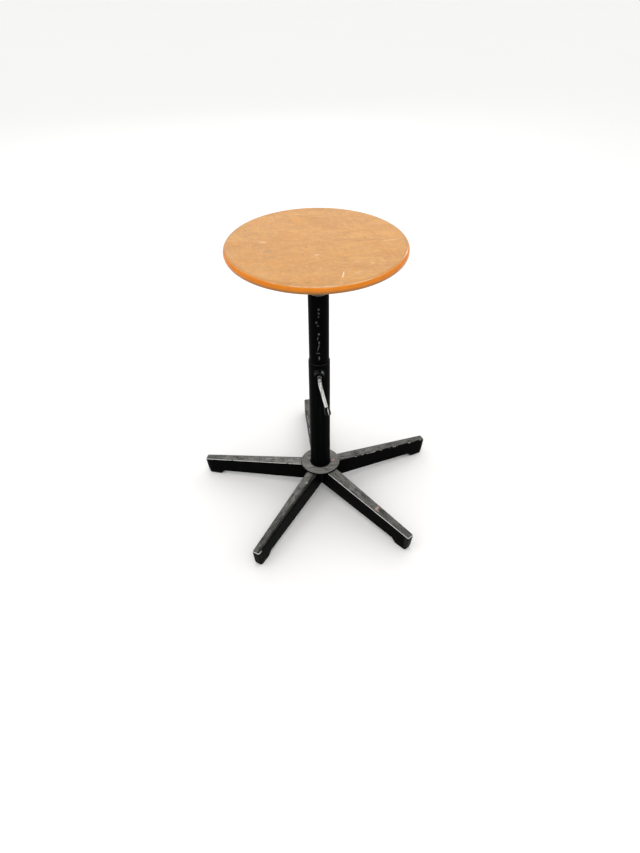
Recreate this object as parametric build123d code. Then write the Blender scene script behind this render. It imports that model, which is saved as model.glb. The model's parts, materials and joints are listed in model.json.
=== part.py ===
from build123d import *
from math import asin, cos, degrees, radians, sin
import os

# Adjustable swivel stool: a round plywood seat on a spindle that turns in a telescopic column,
# a side clamp with a bent lever, and a welded base of five pressed legs on plastic glides.
# Millimetres, +Z up. The origin is on the floor, on the column's axis. The clamp faces -Y.

# ---------------------------------------------------------------- driving dimensions
SEAT_DIAMETER = 340.0
SEAT_THICKNESS = 17.5
SEAT_TOP = 615.0
SEAT_SIDEWAYS = -2.8

UPPER_TUBE_OD = 41.4
UPPER_TUBE_WALL = 2.0
UPPER_TUBE_TOP = 516.0
UPPER_TUBE_LENGTH = 320.0

LOWER_TUBE_OD = 45.0
LOWER_TUBE_WALL = 1.2
LOWER_TUBE_TOP = 359.5
LOWER_TUBE_BOTTOM = 24.0

SPINDLE_DIAMETER = 20.0
RUNNING_CLEARANCE = 0.05

LEG_COUNT = 5
FIRST_LEG_ANGLE = 24.7
LEG_REACH = 282.5
LEG_WALL = 2.0

CLAMP_HEIGHT = 340.0
LEVER_ROD = 7.1
LEVER_TILT = 14.6
LEVER_FLARE = 15.0

# ---------------------------------------------------------------- sizes worked out from them
SEAT_UNDERSIDE = SEAT_TOP - SEAT_THICKNESS
SEAT_EDGE_R = SEAT_THICKNESS / 2 - 0.15
UPPER_R = UPPER_TUBE_OD / 2
UPPER_BORE_R = UPPER_R - UPPER_TUBE_WALL
UPPER_TUBE_BOTTOM = UPPER_TUBE_TOP - UPPER_TUBE_LENGTH
LOWER_R = LOWER_TUBE_OD / 2
LOWER_BORE_R = LOWER_R - LOWER_TUBE_WALL
SPINDLE_R = SPINDLE_DIAMETER / 2
BUSH_BORE_R = SPINDLE_R + RUNNING_CLEARANCE

# ---------------------------------------------------------------- seat carrier
BEARING_FLANGE_R = 19.3
BEARING_FLANGE_HEIGHT = 4.6
BEARING_FLANGE_ROUND = 0.9
BEARING_BODY_LENGTH = 30.0
BEARING_TOP = UPPER_TUBE_TOP + BEARING_FLANGE_HEIGHT
THRUST_WASHER_R = 17.0
THRUST_WASHER_HEIGHT = 1.5
AXIAL_PLAY = 0.3
LOWER_BUSH_BOTTOM = 446.0
LOWER_BUSH_LENGTH = 20.0
SPINDLE_BOTTOM = 436.0
SPINDLE_CHAMFER = 1.2
CIRCLIP_THICKNESS = 1.2
CIRCLIP_GROOVE_R = 9.5
CIRCLIP_OUTER_R = 13.4
CIRCLIP_GAP = 7.0
STOP_WASHER_R = 15.0
STOP_WASHER_HEIGHT = 2.5
PLATE_R = 85.0
PLATE_THICKNESS = 3.0
PLATE_UNDERSIDE = SEAT_UNDERSIDE - PLATE_THICKNESS
HUB_R = 15.0
HUB_CHAMFER = 1.0
GUSSET_COUNT = 4
GUSSET_THICKNESS = 4.0
GUSSET_REACH = 74.0
GUSSET_LIP = 7.0
GUSSET_DEPTH = 54.0
SCREW_COUNT = 4
SCREW_FIRST_ANGLE = 45.0
SCREW_CIRCLE_R = 66.0
SCREW_SHANK_R = 2.3
SCREW_POINT_R = 0.4
SCREW_POINT_LENGTH = 2.8
SCREW_HOLE_R = 2.8
SCREW_HEAD_R = 4.7
SCREW_HEAD_HEIGHT = 3.0
SCREW_HEAD_ROUND = 1.6
SCREW_SLOT = (5.4, 1.1, 2.6)
SCREW_DEPTH = 12.5

# ---------------------------------------------------------------- column guides
GUIDE_SLEEVE_TOP = 358.9
GUIDE_SLEEVE_BOTTOM = 274.0
GLIDE_SKIRT = 10.0
GLIDE_FLOOR = 6.0
GLIDE_SPIGOT = 15.0
GLIDE_SPIGOT_WALL = 3.0
GLIDE_BORE_R = 10.0
GLIDE_LEAD_IN = 0.8
TUBE_RIM_ROUND = 0.6
MOUTH_ROUND = 1.0
MOUTH_INNER_ROUND = 0.4
# Dents that the clamp has left on the upper tube: sideways place and height
BITES = ((0.0, 376.4), (0.4, 413.0), (0.0, 432.8), (-4.6, 458.9), (0.0, 479.3), (0.0, 487.8))
BITE_BALL_R = 9.0
BITE_DEPTH = 0.45

# ---------------------------------------------------------------- clamp
BOSS_R = 10.0
BOSS_FACE = 36.0
BOSS_EDGE_ROUND = 1.2
SCREW_THREAD_R = 4.0
THREAD_CHAMFER = 0.5
CLAMP_BORE_R = SCREW_THREAD_R + RUNNING_CLEARANCE
PAD_R = SCREW_THREAD_R - 0.03
PAD_LENGTH = 7.5
PAD_GAP = 0.15
THREAD_START = UPPER_R + PAD_GAP + PAD_LENGTH
BEND_START = 41.0
BEND_R = 18.0
LEVER_STRAIGHT = 58.5
GRIP_LENGTH = 20.0
GRIP_TIP_WALL = 2.5
GRIP_MOUTH_R = 5.2
GRIP_END_R = 6.3
GRIP_LIP = 0.8
GRIP_SHOULDER = 5.0

# ---------------------------------------------------------------- base
HUB_RING_R = 45.0
HUB_RING_TOP = 76.0
HUB_RING_THICKNESS = 4.5
HUB_RING_ROUND = 1.6
LEG_ROOT = 12.0
LEG_TOP_ROOT = 72.2
LEG_TOP_TIP = 42.6
LEG_EDGE_ROOT = 27.2
LEG_EDGE_TIP = 8.3
LEG_HALF_ROOT = 13.9
LEG_HALF_TIP = 8.75
LEG_TIP_LEAN = 6.0
LEG_TOP_EDGE_R = 3.0
LEG_TIP_CORNER_R = 4.0
GLIDE_SOLE_START = 236.0
GLIDE_HEEL_RUN = 11.0
GLIDE_HEEL_ROUND = 6.0
GLIDE_BALL_RUN = 35.0
GLIDE_BALL_ROUND = 8.0
GLIDE_KEEL_ROUND = 1.8
GLIDE_INSET = 0.3
GLIDE_INSERT_HEIGHT = 12.0
GLIDE_JOINT_OVERLAP = 1.0
TOE_LIFT = 2.2

# ---------------------------------------------------------------- reach of cutting solids
BEYOND = 20.0
TALLEST = 200.0


def ring(outer, inner, bottom, height):
    """A washer or tube wall about the column's axis."""
    profile = Pos((outer + inner) / 2, bottom + height / 2) * Rectangle(outer - inner, height)
    return revolve(Plane.XZ * profile, Axis.Z)


def bar(radius, bottom, height):
    """A solid round bar on the column's axis."""
    return Pos(0, 0, bottom + height / 2) * Cylinder(radius, height)


def radial_bar(radius, start, length, height=CLAMP_HEIGHT):
    """A round bar that runs outwards along -Y at the given height, from y = -start."""
    return Pos(0, -(start + length / 2), height) * Rot(90, 0, 0) * Cylinder(radius, length)


def around(piece, count, first=0.0):
    """Copies of one piece, evenly spaced about the column's axis."""
    return [Rot(0, 0, first + 360.0 * i / count) * piece for i in range(count)]


# ---------------------------------------------------------------- seat body
def seat_panel():
    """Round plywood disc, screwed on a little off centre, with a full round edge and pilot holes."""
    disc = Pos(SEAT_SIDEWAYS, 0, 0) * bar(SEAT_DIAMETER / 2, SEAT_UNDERSIDE, SEAT_THICKNESS)
    disc = fillet(disc.edges().filter_by(GeomType.CIRCLE), SEAT_EDGE_R)
    pilot = Pos(SCREW_CIRCLE_R, 0, 0) * bar(SCREW_SHANK_R, SEAT_UNDERSIDE - BEYOND, SCREW_DEPTH + BEYOND)
    for hole in around(pilot, SCREW_COUNT, SCREW_FIRST_ANGLE):
        disc -= hole
    return disc


def seat_plate():
    """Round steel carrier plate with screw holes and a chamfered lower rim."""
    plate = bar(PLATE_R, PLATE_UNDERSIDE, PLATE_THICKNESS)
    plate = chamfer(plate.edges().group_by(Axis.Z)[0], PLATE_THICKNESS / 3)
    hole = Pos(SCREW_CIRCLE_R, 0, 0) * bar(SCREW_HOLE_R, PLATE_UNDERSIDE - BEYOND, 2 * BEYOND)
    for cut in around(hole, SCREW_COUNT, SCREW_FIRST_ANGLE):
        plate -= cut
    return plate


def seat_hub():
    """Steel socket welded under the plate. The spindle is held in it."""
    bottom = BEARING_TOP + THRUST_WASHER_HEIGHT + AXIAL_PLAY
    hub = ring(HUB_R, SPINDLE_R, bottom, PLATE_UNDERSIDE - bottom)
    rim = hub.edges().filter_by(GeomType.CIRCLE).group_by(Axis.Z)[0].sort_by(SortBy.RADIUS)[-1]
    return chamfer(rim, HUB_CHAMFER)


def gusset():
    """Triangular rib between the hub and the carrier plate, with a concave lower edge."""
    top = PLATE_UNDERSIDE
    with BuildPart() as part:
        with BuildSketch(Plane.XZ.offset(-GUSSET_THICKNESS / 2)):
            with BuildLine():
                a = (HUB_R, top)
                b = (GUSSET_REACH, top)
                c = (GUSSET_REACH, top - GUSSET_LIP)
                d = (HUB_R, top - GUSSET_DEPTH)
                Line(a, b)
                Line(b, c)
                Spline(c, d, tangents=((-1, -0.12), (-0.25, -1)), tangent_scalars=(0.8, 0.8))
                Line(d, a)
            make_face()
        extrude(amount=GUSSET_THICKNESS)
    return part.part - bar(HUB_R, top - 2 * GUSSET_DEPTH, 3 * GUSSET_DEPTH)


def wood_screw():
    """Pan-head screw from below the plate into the seat, with a cross recess."""
    head = bar(SCREW_HEAD_R, PLATE_UNDERSIDE - SCREW_HEAD_HEIGHT, SCREW_HEAD_HEIGHT)
    head = fillet(head.edges().group_by(Axis.Z)[0], SCREW_HEAD_ROUND)
    shank_length = PLATE_THICKNESS + SCREW_DEPTH - SCREW_POINT_LENGTH
    shank = bar(SCREW_SHANK_R, PLATE_UNDERSIDE, shank_length)
    point_middle = PLATE_UNDERSIDE + shank_length + SCREW_POINT_LENGTH / 2
    point = Pos(0, 0, point_middle) * Cone(SCREW_SHANK_R, SCREW_POINT_R, SCREW_POINT_LENGTH)
    slot = Pos(0, 0, PLATE_UNDERSIDE - SCREW_HEAD_HEIGHT) * Box(*SCREW_SLOT)
    screw = head + shank + point - slot - Rot(0, 0, 90) * slot
    return Pos(SCREW_CIRCLE_R, 0, 0) * screw


def spindle():
    """Steel spindle with a groove for its circlip and chamfered ends."""
    shaft = bar(SPINDLE_R, SPINDLE_BOTTOM, PLATE_UNDERSIDE - SPINDLE_BOTTOM)
    shaft = chamfer(shaft.edges().group_by(Axis.Z)[0], SPINDLE_CHAMFER)
    return shaft - ring(SPINDLE_R + BEYOND, CIRCLIP_GROOVE_R, circlip_bottom(), CIRCLIP_THICKNESS)


def stop_washer_bottom():
    return LOWER_BUSH_BOTTOM - AXIAL_PLAY - STOP_WASHER_HEIGHT


def circlip_bottom():
    return stop_washer_bottom() - CIRCLIP_THICKNESS


def circlip():
    """Open spring ring seated in the spindle's groove."""
    clip = ring(CIRCLIP_OUTER_R, CIRCLIP_GROOVE_R, circlip_bottom(), CIRCLIP_THICKNESS)
    gap = Pos(0, CIRCLIP_OUTER_R, circlip_bottom()) * Box(CIRCLIP_GAP, CIRCLIP_OUTER_R, BEYOND)
    return clip - gap


# ---------------------------------------------------------------- column body
def upper_tube():
    """Inner column tube. The clamp has left a row of shallow round dents down its front."""
    tube = ring(UPPER_R, UPPER_BORE_R, UPPER_TUBE_BOTTOM, UPPER_TUBE_LENGTH)
    outer_rims = tube.edges().filter_by(GeomType.CIRCLE).filter_by(lambda e: e.radius > UPPER_BORE_R)
    tube = fillet(outer_rims, TUBE_RIM_ROUND)
    for sideways, height in BITES:
        turn = degrees(asin(sideways / UPPER_R))
        ball = Pos(0, -(UPPER_R + BITE_BALL_R - BITE_DEPTH), height) * Sphere(BITE_BALL_R)
        tube -= Rot(0, 0, turn) * ball
    return tube


def column_glide():
    """Plastic cup on the upper tube's lower end. It slides in the lower tube."""
    bottom = UPPER_TUBE_BOTTOM - GLIDE_FLOOR
    outer = LOWER_BORE_R - RUNNING_CLEARANCE
    cup = ring(outer, GLIDE_BORE_R, bottom, GLIDE_FLOOR)
    cup += ring(outer, UPPER_R, UPPER_TUBE_BOTTOM, GLIDE_SKIRT)
    cup += ring(UPPER_BORE_R, UPPER_BORE_R - GLIDE_SPIGOT_WALL, UPPER_TUBE_BOTTOM, GLIDE_SPIGOT)
    lead_in = cup.edges().filter_by(GeomType.CIRCLE).group_by(Axis.Z)[0].sort_by(SortBy.RADIUS)[-1]
    return chamfer(lead_in, GLIDE_LEAD_IN)


def top_bearing():
    """Light flanged bush in the tube's mouth. Its flange shows as a pale ring."""
    bush = ring(UPPER_BORE_R, BUSH_BORE_R, UPPER_TUBE_TOP - BEARING_BODY_LENGTH, BEARING_BODY_LENGTH)
    flange = ring(BEARING_FLANGE_R, BUSH_BORE_R, UPPER_TUBE_TOP, BEARING_FLANGE_HEIGHT)
    rims = flange.edges().filter_by(GeomType.CIRCLE).filter_by(lambda e: e.radius > UPPER_BORE_R)
    return bush + fillet(rims.group_by(Axis.Z)[-1], BEARING_FLANGE_ROUND)


def lower_bush():
    return ring(UPPER_BORE_R, BUSH_BORE_R, LOWER_BUSH_BOTTOM, LOWER_BUSH_LENGTH)


def thrust_washer():
    return ring(THRUST_WASHER_R, BUSH_BORE_R, BEARING_TOP, THRUST_WASHER_HEIGHT)


# ---------------------------------------------------------------- base body
def lower_tube():
    """Outer column tube with the clamp's cross hole and a softened mouth."""
    tube = ring(LOWER_R, LOWER_BORE_R, LOWER_TUBE_BOTTOM, LOWER_TUBE_TOP - LOWER_TUBE_BOTTOM)
    tube = fillet(tube.edges().group_by(Axis.Z)[-1].sort_by(SortBy.RADIUS)[-1], MOUTH_ROUND)
    tube = fillet(tube.edges().group_by(Axis.Z)[-1].sort_by(SortBy.RADIUS)[0], MOUTH_INNER_ROUND)
    return tube - radial_bar(CLAMP_BORE_R, UPPER_R, BOSS_FACE - UPPER_R)


def guide_sleeve():
    """Plastic liner in the lower tube's mouth, with a window for the pressure pad."""
    inner = UPPER_R + RUNNING_CLEARANCE
    sleeve = ring(LOWER_BORE_R, inner, GUIDE_SLEEVE_BOTTOM, GUIDE_SLEEVE_TOP - GUIDE_SLEEVE_BOTTOM)
    return sleeve - radial_bar(CLAMP_BORE_R, UPPER_BORE_R, BOSS_FACE - UPPER_BORE_R)


def clamp_boss():
    """Round threaded boss, coped to the tube that it is welded to."""
    boss = radial_bar(BOSS_R, 0, BOSS_FACE)
    boss = fillet(boss.faces().sort_by(Axis.Y)[0].edges(), BOSS_EDGE_ROUND)
    boss -= bar(LOWER_R, CLAMP_HEIGHT - BEYOND, 2 * BEYOND)
    return boss - radial_bar(CLAMP_BORE_R, 0, BOSS_FACE + BEYOND)


def hub_ring():
    """Flat ring that covers the legs' roots around the tube."""
    plate = ring(HUB_RING_R, LOWER_R, HUB_RING_TOP - HUB_RING_THICKNESS, HUB_RING_THICKNESS)
    rims = plate.edges().filter_by(GeomType.CIRCLE).filter_by(lambda e: e.radius > LOWER_R + 1)
    return fillet(rims, HUB_RING_ROUND)


def along_leg(root, tip, x):
    """A leg size at distance x from the column's axis: every leg size tapers evenly."""
    return root + (tip - root) * (x - LEG_ROOT) / (LEG_REACH - LEG_ROOT)


def leg_section(x, inset, lowered):
    """Rectangle across the leg at distance x, inset from the outer skin."""
    top = along_leg(LEG_TOP_ROOT, LEG_TOP_TIP, x) - inset
    bottom = along_leg(LEG_EDGE_ROOT, LEG_EDGE_TIP, x) - lowered
    half = along_leg(LEG_HALF_ROOT, LEG_HALF_TIP, x) - inset
    frame = Plane(origin=(x, 0, (top + bottom) / 2), x_dir=(0, 1, 0), z_dir=(1, 0, 0))
    return frame * Rectangle(2 * half, top - bottom)


def across_leg(outline):
    """An outline in the plane of the leg's length and height, made wider than the leg."""
    return extrude(Plane.XZ * outline, amount=3 * BEYOND, both=True)


def leg_block(inset, lowered):
    """Tapered block between the leg's root and its leaning tip."""
    ends = (LEG_ROOT - 1, LEG_REACH + BEYOND)
    block = loft([leg_section(x, inset, lowered) for x in ends])
    reach = LEG_REACH - inset
    lean = LEG_TIP_LEAN / LEG_TOP_TIP
    low = -2 * BEYOND
    high = LEG_TOP_TIP + BEYOND
    beyond_tip = Polygon(
        (reach + lean * (low - LEG_TOP_TIP), low),
        (reach + 3 * BEYOND, low),
        (reach + 3 * BEYOND, high),
        (reach + lean * BEYOND, high),
        align=None,
    )
    block -= across_leg(beyond_tip)
    at_tip = block.edges().filter_by(lambda e: e.center().X > reach - 2 * LEG_TIP_LEAN)
    corners = at_tip.filter_by(lambda e: abs(e.tangent_at(0.5).Z) > 0.9)
    block = fillet(corners, LEG_TIP_CORNER_R - inset)
    top_rim = block.faces().sort_by(Axis.Z)[-1].edges().filter_by(lambda e: e.center().X > LEG_ROOT + 1)
    return fillet(top_rim, LEG_TOP_EDGE_R - 0.8 * inset)


def leg_sector():
    """The wedge of space that one leg may fill before it meets its neighbours."""
    half_angle = radians(180.0 / LEG_COUNT)
    far = 2 * LEG_REACH
    x = far * cos(half_angle)
    y = far * sin(half_angle)
    return extrude(Polygon((0, 0), (x, -y), (x, y), align=None), amount=TALLEST)


def leg():
    """Pressed channel, open below, closed at its tip and coped to the column at its root."""
    shell = leg_block(0, 0) - leg_block(LEG_WALL, 1.5 * BEYOND)
    return (shell & leg_sector()) - bar(LOWER_R, 0, TALLEST)


def edge_height(x):
    """Height of the channel's lower edges at distance x."""
    return along_leg(LEG_EDGE_ROOT, LEG_EDGE_TIP, x)


def foot():
    """Boat-shaped plastic glide: a sole below the channel and a plug inside it."""
    start = GLIDE_SOLE_START
    tip = LEG_REACH - LEG_TIP_LEAN
    half = along_leg(LEG_HALF_ROOT, LEG_HALF_TIP, start)
    heel = (start, edge_height(start))
    heel_foot = (start + GLIDE_HEEL_RUN, 0.0)
    ball = (start + GLIDE_BALL_RUN, 0.0)
    toe = (tip, TOE_LIFT)
    toe_top = (tip, edge_height(tip))
    profile = Polygon(heel, heel_foot, ball, toe, toe_top, align=None)
    profile = fillet(profile.vertices().sort_by(Axis.X)[1], GLIDE_HEEL_ROUND)
    at_ball = profile.vertices().filter_by(lambda v: abs(v.X - ball[0]) < 0.01)
    profile = fillet(at_ball, GLIDE_BALL_ROUND)
    sole = extrude(Plane.XZ.offset(-half) * profile, amount=2 * half)
    body = sole & extrude(Pos(0, 0, -BEYOND) * foot_outline(GLIDE_INSET), amount=3 * BEYOND)
    low_edges = body.edges().filter_by(lambda e: e.center().Z < TOE_LIFT + 0.3)
    keel = low_edges.filter_by(lambda e: abs(e.tangent_at(0.5).Y) < 0.8)
    body = fillet(keel, GLIDE_KEEL_ROUND)
    plug = extrude(foot_outline(LEG_WALL + GLIDE_INSET), amount=2 * BEYOND)
    return body + (plug & foot_slab(-GLIDE_JOINT_OVERLAP, GLIDE_INSERT_HEIGHT))


def foot_outline(inset):
    """Plan outline of the leg's tip, inset from the channel's outer skin, with round corners."""
    start = GLIDE_SOLE_START
    tip = LEG_REACH - LEG_TIP_LEAN - inset
    near = along_leg(LEG_HALF_ROOT, LEG_HALF_TIP, start) - inset
    far = along_leg(LEG_HALF_ROOT, LEG_HALF_TIP, tip) - inset
    outline = Polygon((start, -near), (tip, -far), (tip, far), (start, near), align=None)
    return fillet(outline.vertices().sort_by(Axis.X)[-2:], LEG_TIP_CORNER_R - inset)


def foot_slab(low, high):
    """The space between two planes parallel to the channel's lower edges."""
    x0 = GLIDE_SOLE_START - BEYOND
    x1 = LEG_REACH + BEYOND
    outline = Polygon(
        (x0, edge_height(x0) + low),
        (x1, edge_height(x1) + low),
        (x1, edge_height(x1) + high),
        (x0, edge_height(x0) + high),
        align=None,
    )
    return across_leg(outline)


# ---------------------------------------------------------------- clamp bodies
def clamp_pad():
    """Steel plug that the screw presses against the upper tube."""
    pad = radial_bar(PAD_R, UPPER_R + PAD_GAP, PAD_LENGTH)
    return chamfer(pad.edges().filter_by(GeomType.CIRCLE), THREAD_CHAMFER)


def lever_direction(angle):
    """Unit vector in the lever's plane: 0 degrees points outwards, 90 points down the lever."""
    tilt = radians(LEVER_TILT)
    turn = radians(angle)
    out = Vector(0, -1, 0)
    down = Vector(sin(tilt), 0, -cos(tilt))
    return out * cos(turn) + down * sin(turn)


def lever_points():
    """Start of the bend, its middle, its end and the rod's end."""
    turn = 90.0 - LEVER_FLARE
    start = Vector(0, -BEND_START, CLAMP_HEIGHT)
    centre = start + lever_direction(90) * BEND_R
    middle = centre - lever_direction(90 + turn / 2) * BEND_R
    finish = centre - lever_direction(90 + turn) * BEND_R
    return start, middle, finish, finish + lever_direction(turn) * LEVER_STRAIGHT


def clamp_lever():
    """One bent rod: a thread in the boss, a tight bend and a straight handle."""
    start, middle, finish, end = lever_points()
    root = Vector(0, -THREAD_START, CLAMP_HEIGHT)
    path = Line(root, start) + ThreePointArc(start, middle, finish) + Line(finish, end)
    section = Plane(origin=root, z_dir=(0, -1, 0)) * Circle(LEVER_ROD / 2)
    rod = sweep(section, path=path)
    thread = radial_bar(SCREW_THREAD_R, THREAD_START, BEND_START - THREAD_START)
    return rod + chamfer(thread.edges().filter_by(GeomType.CIRCLE), THREAD_CHAMFER)


def lever_grip():
    """Plastic sleeve pushed over the lever's end, a little fatter at its tip."""
    end = lever_points()[-1]
    along = lever_direction(90.0 - LEVER_FLARE)
    mouth = end - along * (GRIP_LENGTH - GRIP_TIP_WALL)
    frame = Plane(origin=mouth, z_dir=along)
    with BuildPart() as grip:
        with BuildSketch(Plane.XZ):
            with BuildLine():
                Line((0, 0), (GRIP_MOUTH_R - GRIP_LIP, 0))
                Spline(
                    (GRIP_MOUTH_R - GRIP_LIP, 0),
                    (GRIP_MOUTH_R, 2 * GRIP_LIP),
                    (GRIP_END_R, GRIP_LENGTH - GRIP_SHOULDER),
                    (0, GRIP_LENGTH),
                    tangents=((1, 0.3), (-1, 0)),
                )
                Line((0, GRIP_LENGTH), (0, 0))
            make_face()
        revolve(axis=Axis.Z)
    return frame * (grip.part - bar(LEVER_ROD / 2, 0, GRIP_LENGTH - GRIP_TIP_WALL))


# ---------------------------------------------------------------- write one file for each node
def write(name, shape):
    export_step(shape, f"parts/{name}.step")


os.makedirs("parts", exist_ok=True)

write("seat_panel", seat_panel())
write("seat_plate", seat_plate())
write("seat_hub", seat_hub())
for number, rib in enumerate(around(gusset(), GUSSET_COUNT), 1):
    write(f"seat_gusset_{number}", rib)
write("seat_screws", Compound(children=around(wood_screw(), SCREW_COUNT, SCREW_FIRST_ANGLE)))
write("spindle", spindle())
write("spindle_circlip", circlip())
write("spindle_washer", ring(STOP_WASHER_R, BUSH_BORE_R, stop_washer_bottom(), STOP_WASHER_HEIGHT))

write("upper_tube", upper_tube())
write("column_glide", column_glide())
write("top_bearing", top_bearing())
write("lower_bush", lower_bush())
write("thrust_washer", thrust_washer())

write("lower_tube", lower_tube())
write("guide_sleeve", guide_sleeve())
write("clamp_boss", clamp_boss())
write("hub_ring", hub_ring())
for number, piece in enumerate(around(leg(), LEG_COUNT, FIRST_LEG_ANGLE), 1):
    write(f"leg_{number}", piece)
for number, piece in enumerate(around(foot(), LEG_COUNT, FIRST_LEG_ANGLE), 1):
    write(f"foot_{number}", piece)

write("clamp_pad", clamp_pad())
write("clamp_lever", clamp_lever())
write("lever_grip", lever_grip())
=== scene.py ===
import json
import math
import random

import bpy
from mathutils import Matrix, Vector, noise


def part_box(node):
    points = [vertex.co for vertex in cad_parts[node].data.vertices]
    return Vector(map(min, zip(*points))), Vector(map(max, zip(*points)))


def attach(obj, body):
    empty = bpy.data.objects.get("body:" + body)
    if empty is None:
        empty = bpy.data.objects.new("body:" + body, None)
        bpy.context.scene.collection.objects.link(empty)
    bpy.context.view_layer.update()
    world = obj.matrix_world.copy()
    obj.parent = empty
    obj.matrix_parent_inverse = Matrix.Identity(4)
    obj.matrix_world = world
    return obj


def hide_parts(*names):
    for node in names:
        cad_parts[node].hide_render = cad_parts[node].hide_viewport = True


# Looks of the adjustable swivel stool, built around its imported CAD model.
# Metres, +Z up. The origin is on the floor, on the column's axis. The clamp faces -Y.

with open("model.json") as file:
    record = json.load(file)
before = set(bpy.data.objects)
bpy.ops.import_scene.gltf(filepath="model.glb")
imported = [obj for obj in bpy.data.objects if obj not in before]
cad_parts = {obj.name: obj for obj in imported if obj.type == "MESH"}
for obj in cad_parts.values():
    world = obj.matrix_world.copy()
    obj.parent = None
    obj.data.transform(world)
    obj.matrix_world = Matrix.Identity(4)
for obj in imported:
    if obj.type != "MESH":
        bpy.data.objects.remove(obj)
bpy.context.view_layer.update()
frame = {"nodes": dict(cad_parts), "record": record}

MM = 0.001
HALF_TURN = math.pi
FULL_TURN = 2 * math.pi
UP = Vector((0, 0, 1))

# ---------------------------------------------------------------- places read from the frame
seat_low, seat_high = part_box("seat_panel")
SEAT_X = (seat_high.x + seat_low.x) / 2
SEAT_R = (seat_high.x - seat_low.x) / 2
SEAT_THICKNESS = seat_high.z - seat_low.z
SEAT_MIDDLE = (seat_high.z + seat_low.z) / 2
SEAT_BAND_HALF = 0.15 * MM       # half the height of the upright band in the middle of the edge
SEAT_EDGE_R = SEAT_THICKNESS / 2 - SEAT_BAND_HALF
SEAT_FLAT_R = SEAT_R - SEAT_EDGE_R

boss_low, boss_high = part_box("clamp_boss")
BOSS_FACE = boss_low.y
BOSS_R = boss_high.x
CLAMP_HEIGHT = (boss_low.z + boss_high.z) / 2

UPPER_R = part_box("upper_tube")[1].x
LOWER_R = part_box("lower_tube")[1].x
THREAD_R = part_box("clamp_pad")[1].x
THREAD_END = BOSS_FACE - 5 * MM  # outer end of the lever's thread
RING_UNDERSIDE, RING_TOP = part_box("hub_ring")[0].z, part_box("hub_ring")[1].z
HUB_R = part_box("seat_hub")[1].x
PLATE_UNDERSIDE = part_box("seat_plate")[0].z
GUSSET_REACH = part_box("seat_gusset_1")[1].x
GUSSET_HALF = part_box("seat_gusset_1")[1].y
GUSSET_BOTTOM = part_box("seat_gusset_1")[0].z
RIB_NUMBERS = (1, 2, 3, 4)

LEG_NUMBERS = (1, 2, 3, 4, 5)
LEG_SPACING = FULL_TURN / len(LEG_NUMBERS)
LEG_WEAR_REACH = 280 * MM        # the wear near a leg's end is placed inwards from here
LEG_EDGE_ROOT = 27.2 * MM        # height of a leg's lower edge at the hub
LEG_HALF_ROOT = 13.9 * MM        # half the width of a leg at the hub


def leg_angle(number):
    """Direction of a leg, from the mount under its glide."""
    places = {mount["name"]: mount["pos_m"] for mount in frame["record"]["mounts"]}
    x, y, _ = places[f"foot_{number}_sole"]
    return math.atan2(y, x)


# ---------------------------------------------------------------- node helpers
def rgb(red, green, blue):
    return (red, green, blue, 1.0)


def shade(colour, factor):
    """The same hue, lighter or darker."""
    return rgb(*(factor * channel for channel in colour[:3]))


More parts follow.
